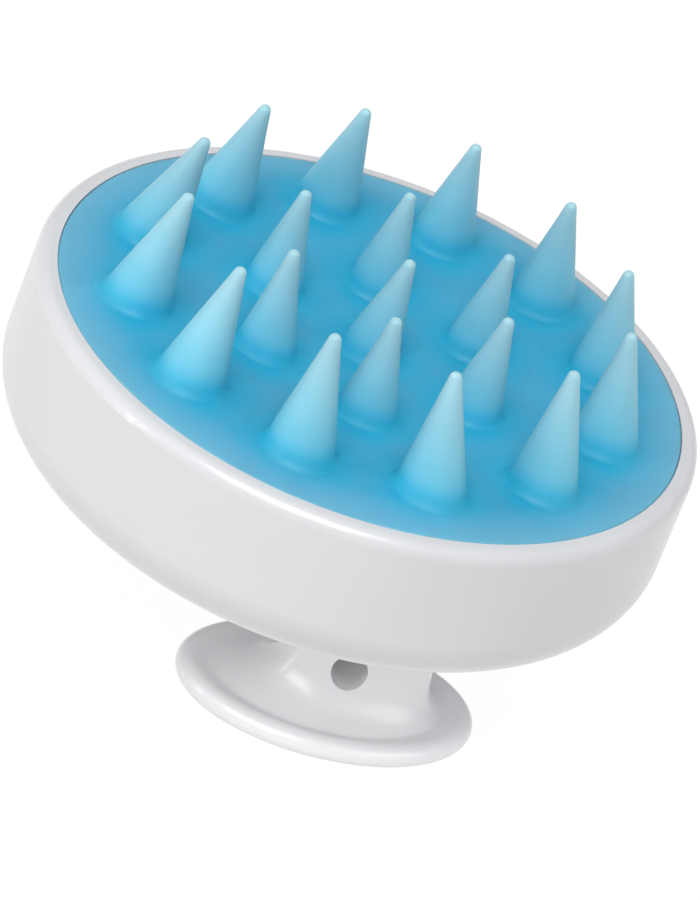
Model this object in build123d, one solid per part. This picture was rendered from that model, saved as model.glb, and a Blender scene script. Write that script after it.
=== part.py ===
"""Hand-held scalp massager brush: a round head with a soft bristle pad, on an oval finger-grip handle.

Millimetres, +Z up. The brush stands on its handle with the bristles up. The origin is on the axis of
the round head, at the level of the handle's flat foot. The handle's long side runs along X.
"""
from build123d import *
from math import asin, cos, log, pi, radians, sin, sqrt
import os

# ---------------------------------------------------------------- driving dimensions
HEAD_R = 42.5               # widest radius of the head, just above its rounded back edge
RIM_R = 42.0                # outer radius at the rim: the wall has a little draft
RIM_Z = 56.0                # height of the rim above the foot
WALL_DEPTH = 13.5           # straight stretch of the wall below the rim
EDGE_R = 6.9                # main radius of the rounded back edge
EDGE_TURN = 70.0            # degrees that the main radius turns through
BACK_BLEND_R = 30.0         # larger radius that eases the edge into the flat back
RIM_ROUND = 1.4             # rounding of the rim's outer corner
POCKET_R = 39.65            # inner radius of the head's pocket
FLOOR_T = 2.4               # thickness of the head's floor
INNER_EDGE_R = 4.8          # inner radius between the wall and the floor

PAD_R = 39.5                # radius of the soft pad
PAD_T = 1.8                 # thickness of the pad
PAD_LIP_T = 1.2             # thickness of the lip that hooks under the plate
PAD_LIP_R = 35.5            # inner radius of that lip
PAD_EDGE_ROUND = 0.5        # rounding of the pad's visible edge
DISH_DEPTH = 2.2            # how far the middle of the pad lies below its edge
DISH_R = 31.0               # radius where the dish reaches the flat border
PAD_TURN = 7.6              # degrees by which the bristle pattern is turned from the handle's long side

BRISTLE_TIP_R = 0.75        # radius of a bristle's rounded tip
BRISTLE_BURY = 0.8          # how far a bristle's cone reaches into the pad
# each ring: bristles, radius of the ring, radius of a bristle where it leaves the pad, height from the pad
# to the centre of the tip, inward lean in degrees, and the turn of its first bristle in degrees
BRISTLE_RINGS = (
    (12, 30.3, 4.3, 14.5, 8.0, 0.0),
    (6, 15.0, 3.8, 13.0, 0.0, 15.0),
    (1, 0.0, 3.8, 12.7, 0.0, 0.0),
)

PLATE_R = 38.0              # radius of the stiff plate inside the pad
PLATE_T = 2.0               # its thickness
PLATE_SCREWS = 3            # screws that hold the plate to the head
PLATE_SCREW_R = 22.0        # radius of their circle
PLATE_SEAT_DEPTH = 9.0      # depth below the rim where the plate's sleeves meet the head's bosses
BOSS_R = 3.0                # outer radius of the head's bosses
SLEEVE_R = 3.4              # outer radius of the plate's sleeves
SLEEVE_FLOOR = 2.1          # thickness under a plate screw's head
FIRST_PLATE_SCREW = 60.0    # degrees: keeps the plate screws clear of the handle screws
RIB_COUNT = 12              # ribs in the head that carry the edge of the pad
RIB_T = 1.4                 # thickness of a rib
RIB_REACH = 2.8             # how far a rib reaches in from the wall
WALL_OVERLAP = 0.5          # how far a rib or boss runs into the wall or floor that carries it
CUT_OVERRUN = 1.0           # how far a cutting tool runs past the face it opens

FLANGE_X = 11.5             # the foot's centre along X: the handle sits off the axis of the head
FLANGE_A = 20.3             # half the foot's length
FLANGE_B = 12.9             # half the foot's width
FLANGE_ROUND = 1.6          # radius of the foot's rolled rim
HOLLOW_Z = 2.9              # height of the lowest line of the hollow between the rolled rim and the neck
NECK_X = 14.6               # the neck's centre along X
NECK_A = 8.7                # half the neck's length at its waist
NECK_B = 3.7                # half the neck's thickness at its waist
FOOT_FLARE_A = 7.0          # how far the neck spreads lengthways at the foot
FOOT_FLARE_B = 6.0          # how far it spreads sideways there
FOOT_FADE = 4.0             # sets how fast that spread fades with height
HOLLOW_FLATNESS = 0.7       # 1 would start the spread level, 0 would start it steep
FOOT_SHARES = (1, 0.8, 0.62, 0.46, 0.33, 0.22, 0.14, 0.08, 0.04, 0.018)     # parts of that spread
WAIST_LOW_Z = 19.0          # height where the straight waist starts
WAIST_HIGH_Z = 26.5         # height where it ends
HEAD_FLARE = 3.2            # how far the neck spreads under the head
HEAD_FADE = 1.7             # height over which that spread falls to a third
HEAD_SHARES = (0.02, 0.05, 0.11, 0.22, 0.4, 0.65, 1)     # parts of that spread
SEAT_DEPTH = 0.6            # how deep the neck's top sits in the head's back
HOLE_R = 2.4                # radius of the hanging hole
HOLE_X = 12.1               # its axis along X
HOLE_Z = 8.8                # height of its axis

SCREW_SHANK_R = 1.25        # radius of every screw's shank
SCREW_HEAD_R = 2.3          # radius of every screw's head
SCREW_HEAD_H = 1.5          # height of the head
SCREW_HEAD_ROUND = 0.9      # rounding of the head's top edge
SCREW_POINT_R = 0.3         # radius of the blunt end of the screw
DRIVE_REACH = 0.9           # half the span of the cross recess in the head
DRIVE_W = 0.45              # width of each slot of the cross
DRIVE_DEPTH = 0.8           # depth of the recess
PLATE_SCREW_L = 9.0         # shank length of a plate screw
HANDLE_SCREW_L = 12.0       # shank length of a handle screw
HANDLE_SCREW_GAP = 12.0     # distance between the two handle screws
CLEARANCE = 0.2             # radial clearance of a screw in the part it passes through
PILOT_GAP = 0.02            # radial gap left between a shank and its pilot hole
PILOT_EXTRA = 1.0           # depth left under a screw's point
SECTION_POINTS = 32         # points on each outline of the handle
OVAL = 2.0                  # squareness of an outline that is an ellipse
NECK_SQUARENESS = 2.8       # squareness of the neck's waist: a rounded oblong
RIM_ANGLES = (-90, -55, -20, 20, 55, 90)   # degrees round the foot's rolled rim

# ---------------------------------------------------------------- places worked out from them
BACK_Z = RIM_Z - WALL_DEPTH - EDGE_R * sin(radians(EDGE_TURN)) \
    - BACK_BLEND_R * (1 - sin(radians(EDGE_TURN)))
FLOOR_Z = BACK_Z + FLOOR_T
NECK_TOP_Z = BACK_Z + SEAT_DEPTH
DISH_BALL_R = (DISH_R ** 2 + DISH_DEPTH ** 2) / (2 * DISH_DEPTH)
PLATE_EDGE_Z = RIM_Z - PAD_T - PLATE_T
LIP_Z = PLATE_EDGE_Z - PAD_LIP_T
PLATE_SEAT_Z = RIM_Z - PLATE_SEAT_DEPTH
SCREW_SEAT_Z = PLATE_SEAT_Z + SLEEVE_FLOOR


def dish_z(radius, drop=0.0):
    """Height of the dished surface at a radius, with its flat border, lowered by drop."""
    if radius >= DISH_R:
        return RIM_Z - drop
    return RIM_Z - DISH_DEPTH - drop + DISH_BALL_R - sqrt(DISH_BALL_R ** 2 - radius ** 2)


def dish_edge(drop):
    """The dished line from the axis out to the border, lowered by drop."""
    middle = DISH_R / 2
    return ThreePointArc(
        (0, 0, dish_z(0, drop)),
        (middle, 0, dish_z(middle, drop)),
        (DISH_R, 0, dish_z(DISH_R, drop)),
    )


def turned(lines):
    """Revolves a closed profile drawn in the XZ plane about the head's axis."""
    return revolve(make_face(Curve() + lines), Axis.Z)


def on_circle(count, radius, first=0.0):
    """Places spread evenly on a circle, as (x, y) pairs. The first is at first degrees."""
    angles = [radians(first + 360.0 * i / count) for i in range(count)]
    return [(radius * cos(a), radius * sin(a)) for a in angles]


def post(x, y, low, high, radius):
    """An upright cylinder between two heights."""
    return Pos(x, y, (low + high) / 2) * Cylinder(radius, high - low)


# ---------------------------------------------------------------- head
def head_outline():
    """The head's wall section: rim, drafted wall, rounded back edge, flat back, floor and pocket."""
    draft = (HEAD_R - RIM_R) / WALL_DEPTH
    round_x = RIM_R - RIM_ROUND
    rim_mid = RIM_ROUND * (1 - cos(pi / 4))
    edge_x = HEAD_R - EDGE_R
    edge_z = RIM_Z - WALL_DEPTH
    turn = radians(EDGE_TURN)
    turn_x = edge_x + EDGE_R * cos(turn)
    turn_z = edge_z - EDGE_R * sin(turn)
    blend_x = turn_x - BACK_BLEND_R * cos(turn)
    blend_z = BACK_Z + BACK_BLEND_R
    half = (turn + pi / 2) / 2
    inner_z = FLOOR_Z + INNER_EDGE_R
    inner_x = POCKET_R - INNER_EDGE_R
    rim_end = (RIM_R + draft * RIM_ROUND, 0, RIM_Z - RIM_ROUND)
    return [
        Line((POCKET_R, 0, RIM_Z), (round_x, 0, RIM_Z)),
        ThreePointArc((round_x, 0, RIM_Z), (RIM_R - rim_mid, 0, RIM_Z - rim_mid), rim_end),
        Line(rim_end, (HEAD_R, 0, edge_z)),
        ThreePointArc(
            (HEAD_R, 0, edge_z),
            (edge_x + EDGE_R * cos(turn / 2), 0, edge_z - EDGE_R * sin(turn / 2)),
            (turn_x, 0, turn_z),
        ),
        ThreePointArc(
            (turn_x, 0, turn_z),
            (blend_x + BACK_BLEND_R * cos(half), 0, blend_z - BACK_BLEND_R * sin(half)),
            (blend_x, 0, BACK_Z),
        ),
        Line((blend_x, 0, BACK_Z), (0, 0, BACK_Z)),
        Line((0, 0, BACK_Z), (0, 0, FLOOR_Z)),
        Line((0, 0, FLOOR_Z), (inner_x, 0, FLOOR_Z)),
        ThreePointArc(
            (inner_x, 0, FLOOR_Z),
            (inner_x + INNER_EDGE_R * sin(pi / 4), 0, inner_z - INNER_EDGE_R * cos(pi / 4)),
            (POCKET_R, 0, inner_z),
        ),
        Line((POCKET_R, 0, inner_z), (POCKET_R, 0, RIM_Z)),
    ]


def rib_block(angle):
    """A radial block in the pocket, up to the underside of the pad's lip, before it is trimmed."""
    length = RIB_REACH + WALL_OVERLAP
    height = LIP_Z - FLOOR_Z + WALL_OVERLAP
    place = Pos(POCKET_R - RIB_REACH + length / 2, 0, LIP_Z - height / 2)
    return Rot(0, 0, angle) * (place * Box(length, RIB_T, height))


def rib_limit():
    """The pocket's form, a little enlarged: a rib trimmed to it ends inside the head's wall."""
    core = post(0, 0, FLOOR_Z - WALL_OVERLAP, LIP_Z, POCKET_R + WALL_OVERLAP)
    return fillet(core.edges().group_by(Axis.Z)[0], INNER_EDGE_R + WALL_OVERLAP)


def handle_screw_places():
    """The two handle screws stand in line with the neck."""
    return [(NECK_X - HANDLE_SCREW_GAP / 2, 0), (NECK_X + HANDLE_SCREW_GAP / 2, 0)]


def plate_screw_places():
    """The plate screws stand clear of the handle screws."""
    return on_circle(PLATE_SCREWS, PLATE_SCREW_R, FIRST_PLATE_SCREW)


def make_head_shell(neck):
    """The stiff glossy head: a cup with support ribs, screw bosses and a seat for the handle."""
    shell = turned(head_outline())
    limit = rib_limit()
    for i in range(RIB_COUNT):
        shell += rib_block(360.0 * (i + 0.5) / RIB_COUNT) & limit
    for x, y in plate_screw_places():
        shell += post(x, y, FLOOR_Z - WALL_OVERLAP, PLATE_SEAT_Z, BOSS_R)
        shell -= post(x, y, FLOOR_Z, PLATE_SEAT_Z + CUT_OVERRUN, SCREW_SHANK_R + PILOT_GAP)
    for x, y in handle_screw_places():
        shell -= post(x, y, BACK_Z - CUT_OVERRUN, FLOOR_Z + CUT_OVERRUN, SCREW_SHANK_R + CLEARANCE)
    return shell - neck


# ---------------------------------------------------------------- soft pad and its plate
def bristle(ring_radius, angle, root_radius, height, lean):
    """One pointed bristle: a cone with a round tip, standing on the dished pad."""
    slope = (root_radius - BRISTLE_TIP_R) / height
    tilt = asin(slope)
    shoulder = (BRISTLE_TIP_R * cos(tilt), 0, height + BRISTLE_TIP_R * sin(tilt))
    foot = (root_radius + slope * BRISTLE_BURY, 0, -BRISTLE_BURY)
    half = (tilt + pi / 2) / 2
    outline = [
        Line((0, 0, -BRISTLE_BURY), foot),
        Line(foot, shoulder),
        ThreePointArc(
            shoulder,
            (BRISTLE_TIP_R * cos(half), 0, height + BRISTLE_TIP_R * sin(half)),
            (0, 0, height + BRISTLE_TIP_R),
        ),
        Line((0, 0, height + BRISTLE_TIP_R), (0, 0, -BRISTLE_BURY)),
    ]
    place = Rot(0, 0, angle) * Pos(ring_radius, 0, dish_z(ring_radius)) * Rot(0, -lean, 0)
    return place * turned(outline)


def pad_outline():
    """The pad's section: dished skin, rounded edge, skirt and the lip that hooks under the plate."""
    corner = PAD_EDGE_ROUND * (1 - cos(pi / 4))
    under_z = RIM_Z - PAD_T
    return [
        dish_edge(0),
        Line((DISH_R, 0, RIM_Z), (PAD_R - PAD_EDGE_ROUND, 0, RIM_Z)),
        ThreePointArc(
            (PAD_R - PAD_EDGE_ROUND, 0, RIM_Z),
            (PAD_R - corner, 0, RIM_Z - corner),
            (PAD_R, 0, RIM_Z - PAD_EDGE_ROUND),
        ),
        Line((PAD_R, 0, RIM_Z - PAD_EDGE_ROUND), (PAD_R, 0, LIP_Z)),
        Line((PAD_R, 0, LIP_Z), (PAD_LIP_R, 0, LIP_Z)),
        Line((PAD_LIP_R, 0, LIP_Z), (PAD_LIP_R, 0, PLATE_EDGE_Z)),
        Line((PAD_LIP_R, 0, PLATE_EDGE_Z), (PLATE_R, 0, PLATE_EDGE_Z)),
        Line((PLATE_R, 0, PLATE_EDGE_Z), (PLATE_R, 0, under_z)),
        Line((PLATE_R, 0, under_z), (DISH_R, 0, under_z)),
        dish_edge(PAD_T),
        Line((0, 0, dish_z(0, PAD_T)), (0, 0, dish_z(0))),
    ]


def make_bristle_pad():
    """The soft pad: skin, lip and every bristle in one moulding."""
    pad = turned(pad_outline())
    for count, radius, root_radius, height, lean, first in BRISTLE_RINGS:
        for i in range(count):
            pad += bristle(radius, PAD_TURN + first + 360.0 * i / count, root_radius, height, lean)
    return pad


def make_backing_plate():
    """The stiff plate inside the pad, with a sleeve and a sunk seat for each screw."""
    drop = PAD_T + PLATE_T
    plate = turned([
        dish_edge(PAD_T),
        Line((DISH_R, 0, RIM_Z - PAD_T), (PLATE_R, 0, RIM_Z - PAD_T)),
        Line((PLATE_R, 0, RIM_Z - PAD_T), (PLATE_R, 0, PLATE_EDGE_Z)),
        Line((PLATE_R, 0, PLATE_EDGE_Z), (DISH_R, 0, PLATE_EDGE_Z)),
        dish_edge(drop),
        Line((0, 0, dish_z(0, drop)), (0, 0, dish_z(0, PAD_T))),
    ])
    for x, y in plate_screw_places():
        plate += post(x, y, PLATE_SEAT_Z, dish_z(PLATE_SCREW_R, drop) + PLATE_T / 2, SLEEVE_R)
        plate -= post(x, y, SCREW_SEAT_Z, RIM_Z, SCREW_HEAD_R + CLEARANCE)
        plate -= post(x, y, PLATE_SEAT_Z - CUT_OVERRUN, RIM_Z, SCREW_SHANK_R + CLEARANCE)
    return plate


# ---------------------------------------------------------------- screws
def screw(x, y, seat_z, shank_length):
    """A pan-head screw, its head resting on seat_z and its shank pointing down."""
    head = Pos(x, y, seat_z + SCREW_HEAD_H / 2) * Cylinder(SCREW_HEAD_R, SCREW_HEAD_H)
    head = fillet(head.edges().group_by(Axis.Z)[-1], SCREW_HEAD_ROUND)
    point_h = SCREW_SHANK_R
    shank = post(x, y, seat_z - shank_length + point_h, seat_z, SCREW_SHANK_R)
    point = Pos(x, y, seat_z - shank_length + point_h / 2) * Cone(SCREW_POINT_R, SCREW_SHANK_R, point_h)
    body = head + shank + point
    drive_z = seat_z + SCREW_HEAD_H
    for turn in (0, 90):
        slot = Box(2 * DRIVE_REACH, DRIVE_W, 2 * DRIVE_DEPTH)
        body -= Pos(x, y, drive_z) * Rot(0, 0, turn) * slot
    return body


def make_plate_screws():
    """The screws that hold the plate to the head's bosses."""
    return Compound(children=[
        screw(x, y, SCREW_SEAT_Z, PLATE_SCREW_L) for x, y in plate_screw_places()
    ])


def make_handle_screws():
    """The screws through the head's floor into the top of the neck."""
    return Compound(children=[
        screw(x, y, FLOOR_Z, HANDLE_SCREW_L) for x, y in handle_screw_places()
    ])


# ---------------------------------------------------------------- handle
def outline_at(centre_x, a, b, squareness, z):
    """A closed superellipse outline at a height."""
    power = OVAL / squareness
    points = []
    for i in range(SECTION_POINTS):
        t = 2 * pi * i / SECTION_POINTS
        c = cos(t)
        s = sin(t)
        x = centre_x + a * (abs(c) ** power) * (1 if c >= 0 else -1)
        y = b * (abs(s) ** power) * (1 if s >= 0 else -1)
        points.append((x, y, z))
    return Face(Wire(Spline(*points, periodic=True)))


def foot_rows():
    """Outlines from the foot up to the waist: rolled rim, hollow and flare.

    The outlines slide from the foot's centre towards the neck's centre as they rise.
    """
    rows = []
    inner_a = FLANGE_A - FLANGE_ROUND
    inner_b = FLANGE_B - FLANGE_ROUND
    for angle in RIM_ANGLES:
        t = radians(angle)
        grow = FLANGE_ROUND * cos(t)
        rows.append((FLANGE_X, inner_a + grow, inner_b + grow, OVAL, FLANGE_ROUND * (1 + sin(t))))
    shift = FLANGE_X - NECK_X
    for share in FOOT_SHARES:
        rise = FOOT_FADE * (-log(share) - HOLLOW_FLATNESS * (1 - share))
        half_length = NECK_A + FOOT_FLARE_A * share
        half_width = NECK_B + FOOT_FLARE_B * share
        squareness = NECK_SQUARENESS - (NECK_SQUARENESS - OVAL) * share
        rows.append((NECK_X + shift * share, half_length, half_width, squareness, HOLLOW_Z + rise))
    rows.append(waist_row(WAIST_LOW_Z))
    return rows


def head_rows():
    """Outlines from the waist up to the head's back, where the neck spreads."""
    rows = [waist_row(WAIST_HIGH_Z)]
    for share in HEAD_SHARES:
        spread = HEAD_FLARE * share
        height = NECK_TOP_Z + HEAD_FADE * log(share)
        rows.append((NECK_X, NECK_A + spread, NECK_B + spread, NECK_SQUARENESS, height))
    return rows


def waist_row(z):
    """The outline of the straight waist at a height."""
    return NECK_X, NECK_A, NECK_B, NECK_SQUARENESS, z


def make_neck():
    """The handle's outer form without its holes: flared foot, straight waist and upper flare."""
    foot = loft([outline_at(*row) for row in foot_rows()])
    waist = extrude(outline_at(*waist_row(WAIST_LOW_Z)), WAIST_HIGH_Z - WAIST_LOW_Z, dir=(0, 0, 1))
    top = loft([outline_at(*row) for row in head_rows()])
    return foot + waist + top


def make_handle(neck):
    """The handle: neck, foot, hanging hole and two blind holes for the screws."""
    hole = Pos(HOLE_X, 0, HOLE_Z) * Rot(90, 0, 0) * Cylinder(HOLE_R, 4 * FLANGE_B)
    handle = neck - hole
    bottom = FLOOR_Z - HANDLE_SCREW_L - PILOT_EXTRA
    for x, y in handle_screw_places():
        handle -= post(x, y, bottom, NECK_TOP_Z + CUT_OVERRUN, SCREW_SHANK_R + PILOT_GAP)
    return handle


def main():
    """Builds every piece and writes one STEP file each."""
    os.makedirs("parts", exist_ok=True)
    neck = make_neck()
    pieces = {
        "head_shell": make_head_shell(neck),
        "bristle_pad": make_bristle_pad(),
        "backing_plate": make_backing_plate(),
        "plate_screws": make_plate_screws(),
        "handle": make_handle(neck),
        "handle_screws": make_handle_screws(),
    }
    for name, shape in pieces.items():
        export_step(shape, f"parts/{name}.step")
        print(name, round(shape.volume), shape.bounding_box().size)


main()
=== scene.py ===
"""Looks of the scalp massager brush: the soft bristle pad, the finishes, the studio and the camera.

Blender works in metres. Lengths below are in millimetres where their name or comment says so, and MM turns
them into metres. The rim of the head, the pad and the handle are placed from the frame.
"""

from math import asin, cos, hypot, pi, radians, sin, sqrt

import bpy
from mathutils import Matrix, Vector
from mathutils.geometry import delaunay_2d_cdt


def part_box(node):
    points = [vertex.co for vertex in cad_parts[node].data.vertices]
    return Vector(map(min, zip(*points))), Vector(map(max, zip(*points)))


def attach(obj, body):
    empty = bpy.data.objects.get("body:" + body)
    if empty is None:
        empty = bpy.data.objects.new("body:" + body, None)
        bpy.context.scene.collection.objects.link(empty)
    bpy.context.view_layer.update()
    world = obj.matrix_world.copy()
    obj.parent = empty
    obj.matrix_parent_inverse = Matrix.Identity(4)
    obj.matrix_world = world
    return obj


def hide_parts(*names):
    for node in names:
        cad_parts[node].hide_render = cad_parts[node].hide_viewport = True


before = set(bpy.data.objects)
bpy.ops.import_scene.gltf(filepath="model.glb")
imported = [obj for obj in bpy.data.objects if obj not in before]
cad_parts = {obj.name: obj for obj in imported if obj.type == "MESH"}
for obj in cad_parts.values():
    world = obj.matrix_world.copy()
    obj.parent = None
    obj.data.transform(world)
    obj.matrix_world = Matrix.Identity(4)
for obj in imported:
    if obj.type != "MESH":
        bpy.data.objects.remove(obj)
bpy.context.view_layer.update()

MM = 0.001
PAD_LOW, PAD_HIGH = (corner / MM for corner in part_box("bristle_pad"))

# ---------------------------------------------------------------- pad: sizes in mm, as in the CAD model
RIM_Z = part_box("head_shell")[1].z / MM
EDGE_SWELL = 0.1            # the soft edge swells against the wall of the head
PAD_R = (PAD_HIGH.y - PAD_LOW.y) / 2 + EDGE_SWELL
PAD_UNDER_Z = PAD_LOW.z
DISH_DEPTH = 2.2            # how far the middle of the pad lies below its edge
DISH_R = 31.0               # radius where the dish reaches the flat border
DISH_BALL_R = (DISH_R ** 2 + DISH_DEPTH ** 2) / (2 * DISH_DEPTH)
SKIN_T = 1.8                # thickness of the pad's skin
LIP_T = 1.2                 # thickness of the lip that hooks under the plate
LIP_R = 35.5                # inner radius of that lip
PLATE_R = 38.0              # radius of the groove that holds the plate
EDGE_ROUND = 0.35           # rounding of the pad's visible edge
PAD_TURN = 7.6              # degrees by which the bristle pattern is turned
TIP_R = 0.75                # radius of a bristle's rounded tip
FILLET = 0.9                # reach of the soft fillet round each root
FILLET_RISE = 1.6 * FILLET  # how far that fillet climbs the bristle
FILLET_SHARE = 0.08         # its part of the attribute rise, which is 1 at the tip
# each ring: bristles, radius of the ring, radius of a bristle where it leaves the pad, height to the
# centre of the tip, inward lean and turn in degrees
BRISTLE_RINGS = (
    (12, 30.3, 4.3, 14.5, 8.0, 0.0),
    (6, 15.0, 3.8, 13.0, 0.0, 15.0),
    (1, 0.0, 3.8, 12.7, 0.0, 0.0),
)
# soft bristles that don't stand quite true: (ring, place in the ring) and the shift of the tip in X and Y
TIP_SHIFTS = {
    (0, 5): (0.7, -0.2),
    (0, 8): (-1.1, -0.6),
    (0, 9): (-1.5, -0.5),
    (1, 3): (-0.5, 0.3),
    (1, 4): (-0.7, -0.2),
    (2, 0): (0.8, 0.2),
}
ROUND_STEPS = 48            # points round a bristle
LANDING_STEPS = 4           # rounds of finding where a bristle's side meets the skin
FILLET_STEPS = 6            # rings of points up a fillet, a bristle's side and its tip
CONE_STEPS = 10
TIP_STEPS = 6
SKIN_STEP = 1.3             # spacing of the points on the pad's skin
SKIN_GAP = 0.55 * SKIN_STEP     # least distance of those points from a fillet or from the edge
FEWEST_ROUND = 6            # least number of points in a ring of the skin
SAME_POINT = 1e-6           # points closer than this are one
EDGE_STEPS = 192            # points round the pad's edge
CORNER_STEPS = 6            # steps down the rounding of the pad's edge
UNDER_RINGS = 5             # rings of points on the underside of the dish
ROOT_SHADE_SPAN = 5.0             # how far from a root the painted shade round a bristle's foot reaches
EDGE_SHEEN_R = 33.0             # radius from which a painted pale sheen grows towards the edge of the pad


def dish_z(radius):
    """Height of the pad's skin at a radius: a shallow ball-shaped dish with a flat border."""
    if radius >= DISH_R:
        return RIM_Z
    return RIM_Z - DISH_DEPTH + DISH_BALL_R - sqrt(DISH_BALL_R ** 2 - radius ** 2)


def on_dish(x, y):
    """A point on the pad's skin."""
    return Vector((x, y, dish_z(hypot(x, y))))


def circle(radius, count):
    """Points round a centre, as (x, y) pairs."""
    return [(radius * cos(2 * pi * i / count), radius * sin(2 * pi * i / count)) for i in range(count)]


def bristle_roots():
    """Each bristle: (angle in radians, ring radius, root radius, height, lean in radians, tip shift)."""
    roots = []
    for ring, (count, radius, root_radius, height, lean, first) in enumerate(BRISTLE_RINGS):
        for i in range(count):
            angle = radians(PAD_TURN + first + 360.0 * i / count)
            shift = TIP_SHIFTS.get((ring, i), (0.0, 0.0))
            roots.append((angle, radius, root_radius, height, radians(lean), shift))
    return roots


def bristle_rows(angle, ring_radius, root_radius, height, lean, shift):
    """Rings of points from the pad's skin up a bristle, each with its share of the bristle's height."""
    turn = Matrix.Rotation(angle, 3, "Z") @ Matrix.Rotation(-lean, 3, "Y")
    straight = turn @ Vector((0, 0, height))
    turn = straight.rotation_difference(straight + Vector((*shift, 0))).to_matrix() @ turn
    across = turn @ Vector((1, 0, 0))
    along = turn @ Vector((0, 1, 0))
    up = turn @ Vector((0, 0, 1))
    base = on_dish(ring_radius * cos(angle), ring_radius * sin(angle))
    slope = (root_radius - TIP_R) / height
    tilt = asin(slope)
    outward = [across * x + along * y for x, y in circle(1, ROUND_STEPS)]

    def on_cone(direction, rise):
        return base + up * rise + direction * (root_radius - slope * rise)

    starts = []
    for direction in outward:
        rise = 0.0
        for _ in range(LANDING_STEPS):
            point = on_cone(direction, rise)
            rise += (dish_z(hypot(point.x, point.y)) - point.z) / up.z
        starts.append(rise)
    rows = []
    for j in range(FILLET_STEPS):
        t = j / FILLET_STEPS
        ring = []
        for direction, rise in zip(outward, starts):
            corner = on_cone(direction, rise)
            away = Vector((corner.x - base.x, corner.y - base.y, 0)).normalized()
            skin = on_dish(corner.x + away.x * FILLET, corner.y + away.y * FILLET)
            side = on_cone(direction, rise + FILLET_RISE)
            ring.append(skin * (1 - t) ** 2 + corner * (2 * t * (1 - t)) + side * t ** 2)
        rows.append((ring, FILLET_SHARE * t))
    shoulder = height + TIP_R * sin(tilt)
    for j in range(CONE_STEPS):
        t = j / CONE_STEPS
        ring = []
        for direction, rise in zip(outward, starts):
            low = rise + FILLET_RISE
            ring.append(on_cone(direction, low + (shoulder - low) * t))
        rows.append((ring, FILLET_SHARE + (1 - FILLET_SHARE) * t))
    for j in range(TIP_STEPS):
        turn_up = tilt + (pi / 2 - tilt) * j / TIP_STEPS
        middle = base + up * (height + TIP_R * sin(turn_up))
        rows.append(([middle + direction * (TIP_R * cos(turn_up)) for direction in outward], 1.0))
    return rows, base + up * (height + TIP_R)


def painted_root_shade(point):
    """Painted shade: 1 at a bristle's foot, falling to 0 in the open skin between the bristles."""
    gaps = []
    for angle, radius, root_radius, _, _, _ in bristle_roots():
        gaps.append(hypot(point.x - radius * cos(angle), point.y - radius * sin(angle)) - root_radius)
    return max(0.0, min(1.0, 1.0 - min(gaps) / ROOT_SHADE_SPAN))


def painted_edge_sheen(point):
    """Painted sheen: 0 over most of the pad, rising to 1 at its edge."""
    return max(0.0, min(1.0, (hypot(point.x, point.y) - EDGE_SHEEN_R) / (PAD_R - EDGE_SHEEN_R)))


def skin_points(rings):
    """Points of the pad's skin: its edge, every root's ring, and rings of points between them."""
    edge_r = PAD_R - EDGE_ROUND
    points = [Vector(p) for p in circle(edge_r, EDGE_STEPS)]
    for ring in rings:
        points += [Vector((p.x, p.y)) for p in ring]
    keep_off = []
    for ring in rings:
        x = sum(p.x for p in ring) / len(ring)
        y = sum(p.y for p in ring) / len(ring)
        reach = max(hypot(p.x - x, p.y - y) for p in ring)
        keep_off.append((x, y, reach + SKIN_GAP))
    radius = SKIN_STEP / 2
    while radius < edge_r - SKIN_GAP:
        for x, y in circle(radius, max(FEWEST_ROUND, round(2 * pi * radius / SKIN_STEP))):
            if all(hypot(x - cx, y - cy) > reach for cx, cy, reach in keep_off):
                points.append(Vector((x, y)))
        radius += SKIN_STEP
    return points


def pad_section():
    """The pad's section below its visible edge, from the edge round to the middle of its underside."""
    under = RIM_Z - SKIN_T
    groove = PAD_UNDER_Z + LIP_T
    section = []
    for i in range(1, CORNER_STEPS + 1):
        turn_down = pi / 2 * i / CORNER_STEPS
        x = PAD_R - EDGE_ROUND * (1 - sin(turn_down))
        section.append((x, RIM_Z - EDGE_ROUND * (1 - cos(turn_down))))
    section += [(PAD_R, PAD_UNDER_Z), (LIP_R, PAD_UNDER_Z), (LIP_R, groove)]
    section += [(PLATE_R, groove), (PLATE_R, under)]
    for i in range(UNDER_RINGS, 0, -1):
        radius = DISH_R * i / UNDER_RINGS
        section.append((radius, dish_z(radius) - SKIN_T))
    return section


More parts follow.
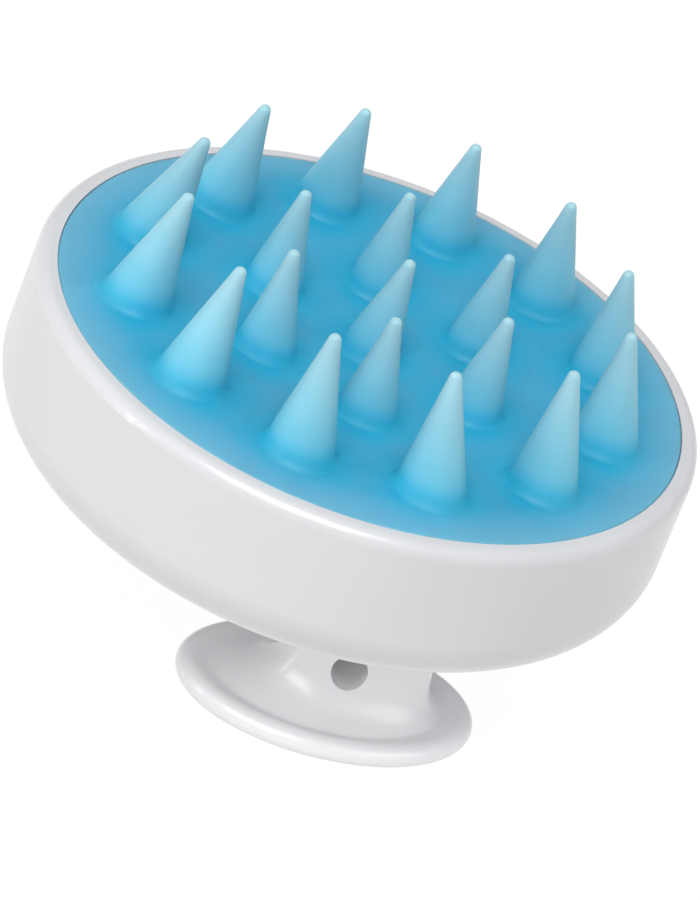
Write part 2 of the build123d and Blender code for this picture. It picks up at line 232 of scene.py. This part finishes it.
def make_pad():
    """The soft pad as one closed mesh.

    Its point attribute rise runs from 0 on the skin to 1 at each tip, the attribute for the painted shade
    round the bristles' feet is 1 there, and border is 1 at the pad's edge, where a pale sheen is painted.
    """
    bristles = [bristle_rows(*root) for root in bristle_roots()]
    first_rings = [rows[0][0] for rows, _ in bristles]
    flat = skin_points(first_rings)
    loops = [range(EDGE_STEPS)]
    start = EDGE_STEPS
    for ring in first_rings:
        loops.append(range(start, start + len(ring)))
        start += len(ring)
    edges = [(loop[i], loop[(i + 1) % len(loop)]) for loop in loops for i in range(len(loop))]
    placed, _, triangles, origins, _, _ = delaunay_2d_cdt(flat, edges, [], 0, SAME_POINT)
    owner = {}
    for new, olds in enumerate(origins):
        for old in olds:
            owner[old] = new
    ring_of = {owner[index]: k for k, loop in enumerate(loops[1:]) for index in loop}

    verts = [on_dish(p.x, p.y) for p in placed]
    share = [0.0] * len(verts)
    faces = []
    for tri in triangles:
        rings = {ring_of.get(index) for index in tri}
        if len(rings) == 1 and None not in rings:
            continue
        faces.append(tuple(tri))

    def add_ring(ring, value):
        first = len(verts)
        verts.extend(ring)
        share.extend([value] * len(ring))
        return list(range(first, first + len(ring)))

    def join(lower, upper):
        count = len(lower)
        for i in range(count):
            k = (i + 1) % count
            faces.append((lower[i], lower[k], upper[k], upper[i]))

    def close(ring, point, value):
        verts.append(point)
        share.append(value)
        count = len(ring)
        for i in range(count):
            faces.append((ring[i], ring[(i + 1) % count], len(verts) - 1))

    for k, (rows, tip) in enumerate(bristles):
        below = [owner[index] for index in loops[k + 1]]
        for ring, value in rows[1:]:
            above = add_ring(ring, value)
            join(below, above)
            below = above
        close(below, tip, 1.0)

    above = [owner[index] for index in loops[0]]
    for radius, z in pad_section():
        below = add_ring([Vector((x, y, z)) for x, y in circle(radius, EDGE_STEPS)], 0.0)
        join(below, above)
        above = below
    close(above[::-1], Vector((0, 0, RIM_Z - DISH_DEPTH - SKIN_T)), 0.0)

    mesh = bpy.data.meshes.new("bristle_pad_soft")
    mesh.from_pydata([v * MM for v in verts], [], faces)
    # painted shade round the bristles' feet, kept as a point attribute
    root_shade = [painted_root_shade(v) for v in verts]
    # painted sheen: 1 at the pad's edge, where the skin is painted paler
    border = [painted_edge_sheen(v) for v in verts]
    for name, values in (("rise", share), ("root_shade", root_shade), ("border", border)):
        mesh.attributes.new(name, "FLOAT", "POINT").data.foreach_set("value", values)
    mesh.polygons.foreach_set("use_smooth", [True] * len(mesh.polygons))
    mesh.update()
    pad = bpy.data.objects.new("bristle_pad_soft", mesh)
    bpy.context.scene.collection.objects.link(pad)
    return pad


# ---------------------------------------------------------------- materials
NOISE_LOW = 0.3             # noise stays mostly between these
NOISE_HIGH = 0.7
# the two shades that each finish drifts between
WHITE = ((0.55, 0.55, 0.56), (0.58, 0.58, 0.59))
INNER_WHITE = ((0.74, 0.74, 0.76), (0.80, 0.80, 0.82))
ZINC = ((0.56, 0.57, 0.58), (0.66, 0.66, 0.65))
SKIN_OPEN = (0.045, 0.31, 0.48)     # the silicone between the bristles
SKIN_ROOT_SHADE = (0.004, 0.32, 0.51)     # painted shade round their feet, where the bristles shade the skin
SKIN_EDGE_SHEEN = (0.12, 0.37, 0.53)    # painted sheen at the edge of the pad: paler and greyer, standing in for grazing reflection
BRISTLE_START = 0.09        # share of a bristle's height over which its colour takes over from the skin's
# colours of a bristle from its foot to its tip, each with its share of the height; the paling towards the
# tip is painted light, standing in for the light scattered through the thin tip and for its pale
# highlights
BRISTLE_PAINTED_LIGHT_COLOURS = (
    (0.05, (0.03, 0.40, 0.59)),
    (0.2, (0.14, 0.475, 0.61)),
    (0.5, (0.215, 0.49, 0.59)),
    (1.0, (0.30, 0.47, 0.52)),
)


def new_material(name):
    """An empty node material and its Principled shader."""
    material = bpy.data.materials.new(name)
    material.use_nodes = True
    shader = material.node_tree.nodes["Principled BSDF"]
    return material, shader


def add_node(material, kind, **values):
    """Adds a node. A value is set on the node, or on the input of that name where there is one."""
    node = material.node_tree.nodes.new(kind)
    for key, value in values.items():
        words = key.replace("_", " ").title()
        if words in node.inputs:
            node.inputs[words].default_value = value
        else:
            setattr(node, key, value)
    return node


def link(material, source, target):
    """Joins an output to an input."""
    material.node_tree.links.new(source, target)


def noise(material, scale, detail=2.0):
    """Noise in the object's own space: scale is in cycles per metre."""
    place = add_node(material, "ShaderNodeTexCoord")
    grain = add_node(material, "ShaderNodeTexNoise", scale=scale, detail=detail)
    link(material, place.outputs["Object"], grain.inputs["Vector"])
    return grain.outputs["Fac"]


def span(material, source, low, high):
    """Maps a noise to a range."""
    node = add_node(material, "ShaderNodeMapRange")
    node.inputs["From Min"].default_value = NOISE_LOW
    node.inputs["From Max"].default_value = NOISE_HIGH
    node.inputs["To Min"].default_value = low
    node.inputs["To Max"].default_value = high
    link(material, source, node.inputs["Value"])
    return node.outputs["Result"]


def tint(material, source, first, second):
    """Blends two colours by a value. Each is a colour or an output that gives one."""
    node = add_node(material, "ShaderNodeMix", data_type="RGBA")
    link(material, source, node.inputs[0])
    for place, colour in ((6, first), (7, second)):
        if isinstance(colour, tuple):
            node.inputs[place].default_value = (*colour, 1)
        else:
            link(material, colour, node.inputs[place])
    return node.outputs[2]


def painted(material, name):
    """A point attribute of the mesh, as a value."""
    return add_node(material, "ShaderNodeAttribute", attribute_name=name).outputs["Fac"]


def bump(material, shader, layers):
    """Adds up bumps: each layer is a height, its strength and its depth in metres."""
    normal = None
    for height, strength, depth in layers:
        node = add_node(material, "ShaderNodeBump", strength=strength, distance=depth)
        link(material, height, node.inputs["Height"])
        if normal:
            link(material, normal, node.inputs["Normal"])
        normal = node.outputs["Normal"]
    link(material, normal, shader.inputs["Normal"])


def white_gloss():
    """Injection-moulded glossy white plastic: faint flow tint, uneven gloss and fine orange peel."""
    material, shader = new_material("white_gloss")
    flow = span(material, noise(material, 38.0), 0.0, 1.0)
    link(material, tint(material, flow, *WHITE), shader.inputs["Base Color"])
    link(material, span(material, noise(material, 120.0, 4.0), 0.29, 0.35), shader.inputs["Roughness"])
    shader.inputs["IOR"].default_value = 1.5
    shader.inputs["Coat Weight"].default_value = 0.4
    shader.inputs["Coat Roughness"].default_value = 0.12
    shader.inputs["Subsurface Weight"].default_value = 0.12
    shader.inputs["Subsurface Radius"].default_value = (1.0, 0.95, 0.9)
    shader.inputs["Subsurface Scale"].default_value = 0.0012
    bump(material, shader, [
        (noise(material, 90.0), 0.10, 0.0002),
        (noise(material, 1400.0), 0.06, 0.00004),
    ])
    return material


def blue_silicone():
    """Satin translucent silicone: deep blue skin with painted shade round the bristles' feet and a painted
    pale sheen at its edge, and bristles painted paler towards their thin tips for the light they scatter
    and their highlights.
    """
    material, shader = new_material("blue_silicone")
    # painted shade: the skin turns deeper blue round the bristles' feet
    root_shaded_skin = tint(material, painted(material, "root_shade"), SKIN_OPEN, SKIN_ROOT_SHADE)
    # painted sheen: the skin turns paler and greyer towards the pad's edge
    skin = tint(material, painted(material, "border"), root_shaded_skin, SKIN_EDGE_SHEEN)
    rise = painted(material, "rise")
    # painted light: the bristles turn paler towards their tips, for the light their thin tips scatter and
    # for their highlights
    ramp = add_node(material, "ShaderNodeValToRGB")
    stops = ramp.color_ramp.elements
    stops[0].position = BRISTLE_PAINTED_LIGHT_COLOURS[0][0]
    stops[1].position = BRISTLE_PAINTED_LIGHT_COLOURS[-1][0]
    for place, _ in BRISTLE_PAINTED_LIGHT_COLOURS[1:-1]:
        stops.new(place)
    for stop, (_, colour) in zip(stops, BRISTLE_PAINTED_LIGHT_COLOURS):
        stop.color = (*colour, 1)
    link(material, rise, ramp.inputs["Fac"])
    start = add_node(material, "ShaderNodeMapRange")
    start.inputs["From Max"].default_value = BRISTLE_START
    link(material, rise, start.inputs["Value"])
    body = tint(material, start.outputs["Result"], skin, ramp.outputs["Color"])
    cloud = add_node(material, "ShaderNodeHueSaturation")
    link(material, body, cloud.inputs["Color"])
    link(material, span(material, noise(material, 60.0, 3.0), 0.95, 1.05), cloud.inputs["Value"])
    link(material, cloud.outputs["Color"], shader.inputs["Base Color"])
    link(material, span(material, noise(material, 300.0, 3.0), 0.46, 0.58), shader.inputs["Roughness"])
    shader.inputs["IOR"].default_value = 1.42
    shader.inputs["Subsurface Weight"].default_value = 0.7
    shader.inputs["Subsurface Radius"].default_value = (0.45, 1.0, 1.25)
    shader.inputs["Subsurface Scale"].default_value = 0.003
    bump(material, shader, [
        (noise(material, 220.0), 0.10, 0.0002),
        (noise(material, 2600.0, 3.0), 0.10, 0.00004),
    ])
    return material


def inner_plastic():
    """Plain moulded plastic of the hidden plate, with a spark-eroded grain."""
    material, shader = new_material("inner_plastic")
    patch = span(material, noise(material, 80.0), 0.0, 1.0)
    link(material, tint(material, patch, *INNER_WHITE), shader.inputs["Base Color"])
    link(material, span(material, noise(material, 900.0, 3.0), 0.45, 0.6), shader.inputs["Roughness"])
    bump(material, shader, [(noise(material, 1800.0, 3.0), 0.25, 0.00005)])
    return material


def screw_steel():
    """Zinc-plated steel with turning marks."""
    material, shader = new_material("screw_steel")
    shader.inputs["Metallic"].default_value = 1.0
    patch = span(material, noise(material, 700.0), 0.0, 1.0)
    link(material, tint(material, patch, *ZINC), shader.inputs["Base Color"])
    link(material, span(material, noise(material, 1500.0, 3.0), 0.25, 0.42), shader.inputs["Roughness"])
    bump(material, shader, [(noise(material, 4000.0), 0.2, 0.00002)])
    return material


def give(piece, material):
    """Puts one material on a piece."""
    piece.data.materials.clear()
    piece.data.materials.append(material)


# ---------------------------------------------------------------- studio
FLOOR_SIZE = 6.0            # metres
FLOOR_COLOUR = (0.07, 0.07, 0.07)
FLOOR_GLOW = 0.95           # the floor is partly self-lit, so it stays white in the shade
WORLD_COLOUR = (0.95, 0.97, 1.0)
WORLD_STRENGTH = 0.50
HEAD_MIDDLE = (0, 0, 0.04)  # metres, what the lamps are aimed at
FOOT_MIDDLE = (0.012, 0, 0.01)
# softboxes: name, place in metres, what it is aimed at, width and height in metres, power in watts
SOFTBOXES = (
    ("key", (-0.18, -0.42, 0.80), HEAD_MIDDLE, (0.6, 0.6), 7.3),
    ("strip", (-0.65, -0.15, 0.20), HEAD_MIDDLE, (0.12, 0.5), 1.1),
)
# softboxes that reach only the handle
HANDLE_SOFTBOXES = (
    ("low_left", (-0.26, -0.48, 0.42), FOOT_MIDDLE, (0.45, 0.45), 3.4),
    ("low_right", (0.42, -0.40, 0.36), FOOT_MIDDLE, (0.45, 0.45), 1.5),
)
CAMERA_SPOT = (-95.04, -329.26, 253.62)     # mm
CAMERA_AIM = (0.17, -7.52, 44.05)           # mm
CAMERA_ROLL = 21.83         # degrees: the brush leans over in the view
CAMERA_LENS = 131.0         # mm on a 36 mm sensor


def make_floor():
    """A plain pale floor at the level of the foot."""
    half = FLOOR_SIZE / 2
    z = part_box("handle")[0].z
    mesh = bpy.data.meshes.new("studio_floor")
    corners = [(-half, -half, z), (half, -half, z), (half, half, z), (-half, half, z)]
    mesh.from_pydata(corners, [], [(0, 1, 2, 3)])
    floor = bpy.data.objects.new("studio_floor", mesh)
    bpy.context.scene.collection.objects.link(floor)
    material, shader = new_material("studio_floor")
    shader.inputs["Base Color"].default_value = (*FLOOR_COLOUR, 1)
    shader.inputs["Roughness"].default_value = 0.9
    shader.inputs["Specular IOR Level"].default_value = 0.1
    shader.inputs["Emission Color"].default_value = (1, 1, 1, 1)
    shader.inputs["Emission Strength"].default_value = FLOOR_GLOW
    give(floor, material)


def add_softbox(name, spot, aim, size, power):
    """A rectangular area light, turned towards a point."""
    data = bpy.data.lights.new(name, "AREA")
    data.shape = "RECTANGLE"
    data.size, data.size_y = size
    data.energy = power
    lamp = bpy.data.objects.new(name, data)
    lamp.location = spot
    lamp.rotation_euler = (Vector(aim) - Vector(spot)).to_track_quat("-Z", "Y").to_euler()
    bpy.context.scene.collection.objects.link(lamp)
    return lamp


def make_lights():
    """Soft studio light: a pale surround, a large key, a strip, and two low lamps for the handle alone."""
    world = bpy.data.worlds.new("studio")
    world.use_nodes = True
    back = world.node_tree.nodes["Background"]
    back.inputs["Color"].default_value = (*WORLD_COLOUR, 1)
    back.inputs["Strength"].default_value = WORLD_STRENGTH
    bpy.context.scene.world = world
    for box in SOFTBOXES:
        add_softbox(*box)
    lit = bpy.data.collections.new("under_the_head")
    lit.objects.link(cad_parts["handle"])
    for box in HANDLE_SOFTBOXES:
        add_softbox(*box).light_linking.receiver_collection = lit


def make_camera():
    """The camera, rolled so that the brush leans as it does in the view."""
    data = bpy.data.cameras.new("view")
    data.lens = CAMERA_LENS
    data.clip_start = 0.01
    camera = bpy.data.objects.new("view", data)
    spot = Vector(CAMERA_SPOT) * MM
    look = Vector(CAMERA_AIM) * MM - spot
    turn = look.to_track_quat("-Z", "Y").to_matrix().to_4x4()
    camera.matrix_world = Matrix.Translation(spot) @ turn @ Matrix.Rotation(radians(CAMERA_ROLL), 4, "Z")
    bpy.context.scene.collection.objects.link(camera)
    bpy.context.scene.camera = camera


# ---------------------------------------------------------------- the scene
def main():
    """Builds the pad, gives every piece its material, and sets up the studio."""
    gloss = white_gloss()
    give(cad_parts["head_shell"], gloss)
    give(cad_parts["handle"], gloss)
    give(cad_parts["backing_plate"], inner_plastic())
    steel = screw_steel()
    give(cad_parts["plate_screws"], steel)
    give(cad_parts["handle_screws"], steel)

    pad = make_pad()
    give(pad, blue_silicone())
    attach(pad, "root")
    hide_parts("bristle_pad")

    make_floor()
    make_lights()
    make_camera()
    bpy.context.scene.view_settings.view_transform = "Standard"


main()
